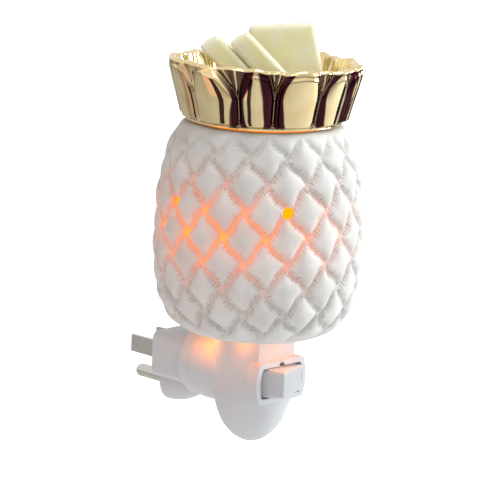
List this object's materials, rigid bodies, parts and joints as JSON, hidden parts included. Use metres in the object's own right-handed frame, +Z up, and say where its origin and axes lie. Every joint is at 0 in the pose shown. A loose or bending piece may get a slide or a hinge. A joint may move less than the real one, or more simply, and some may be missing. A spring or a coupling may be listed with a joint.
{
  "type": "wax melt warmer",
  "caption": "Plug-in wax melt warmer: quilted ceramic shade over a bulb, petal dish with wax melts on top, rocker switch and swivelling plug.",
  "frame": {"origin": "middle of the plug face that sits against the wall outlet, on the line between the blades", "axes": "+Y along the blades into the wall, +Z up along the shade, +X to the right seen from the room"},
  "size_m": [0.0756, 0.0968, 0.1507],
  "materials": {
    "white_plastic": "satin white moulded plastic",
    "rocker_plastic": "satin white moulded plastic, slightly glossier",
    "inner_plastic": "off-white heat-resistant moulding",
    "brass": "stamped brass, bright",
    "nickel": "nickel-plated brass",
    "steel": "zinc-plated steel",
    "lead_insulation": "heat-resistant insulation, dark",
    "silicone": "silicone, translucent white",
    "ceramic": "unglazed bisque, warm white",
    "gold_dish": "gold lustre over glaze, mirror-like",
    "bulb_glass": "clear glass",
    "glass_black": "vitrified insulator, black",
    "stem_glass": "clear glass",
    "filament": "tungsten, glowing",
    "wax": "cream wax, slightly translucent"
  },
  "bodies": {
    "plug": {"plug_body": "white_plastic", "blade_hot": "nickel", "blade_neutral": "nickel", "ground_pin": "nickel", "slip_ring_hot": "brass", "slip_ring_neutral": "brass", "swivel_washer": "steel", "swivel_clip": "steel"},
    "warmer": {"rear_shell": "white_plastic", "front_shell": "white_plastic", "shell_screw": "steel", "switch_bezel": "white_plastic", "switch_housing": "inner_plastic", "terminal_line": "brass", "terminal_load": "brass", "brush_plate": "inner_plastic", "brush_hot": "brass", "brush_neutral": "brass", "lead_line": "lead_insulation", "lead_load": "lead_insulation", "lead_neutral": "lead_insulation", "socket_body": "inner_plastic", "socket_screw_shell": "brass", "socket_contact": "brass", "shade_gasket": "silicone", "shade_ring_nut": "inner_plastic", "ceramic_shade": "ceramic"},
    "rocker": {"rocker": "rocker_plastic", "rocker_plunger": "inner_plastic", "rocker_spring": "steel"},
    "contact": {"contact_bar": "brass"},
    "bulb": {"bulb_glass": "bulb_glass", "bulb_screw_base": "nickel", "bulb_insulator": "glass_black", "bulb_tip_contact": "brass", "bulb_stem": "stem_glass", "bulb_supports": "steel", "bulb_filament": "filament"},
    "dish": {"wax_dish": "gold_dish"},
    "wax": {"wax_melt_1": "wax", "wax_melt_2": "wax", "wax_melt_3": "wax"}
  },
  "joints": [
    {"name": "plug_swivel", "type": "hinge", "parent": "plug", "child": "warmer", "pos_m": [0, 0, 0], "axis": [0, 1, 0], "range_deg": [-90, 90]},
    {"name": "rocker_tilt", "type": "hinge", "parent": "warmer", "child": "rocker", "pos_m": [0, -0.0511, -0.00085], "axis": [0, 0, -1], "range_deg": [0, 38]},
    {"name": "contact_tilt", "type": "hinge", "parent": "warmer", "child": "contact", "pos_m": [0, -0.0436, -0.00085], "axis": [0, 0, 1], "range_deg": [0, 16]},
    {"name": "bulb_turn", "type": "hinge", "parent": "warmer", "child": "bulb", "pos_m": [0, -0.04, 0.02], "axis": [0, 0, 1], "range_deg": [0, 1080]},
    {"name": "dish_lift", "type": "slide", "parent": "warmer", "child": "dish", "axis": [0, 0, 1], "range_m": [0, 0.06]},
    {"name": "wax_lift", "type": "slide", "parent": "dish", "child": "wax", "axis": [0, 0, 1], "range_m": [0, 0.06]}
  ],
  "couplings": [
    {"joint": "contact_tilt", "follows": "rocker_tilt", "ratio": 0.42105}
  ]
}
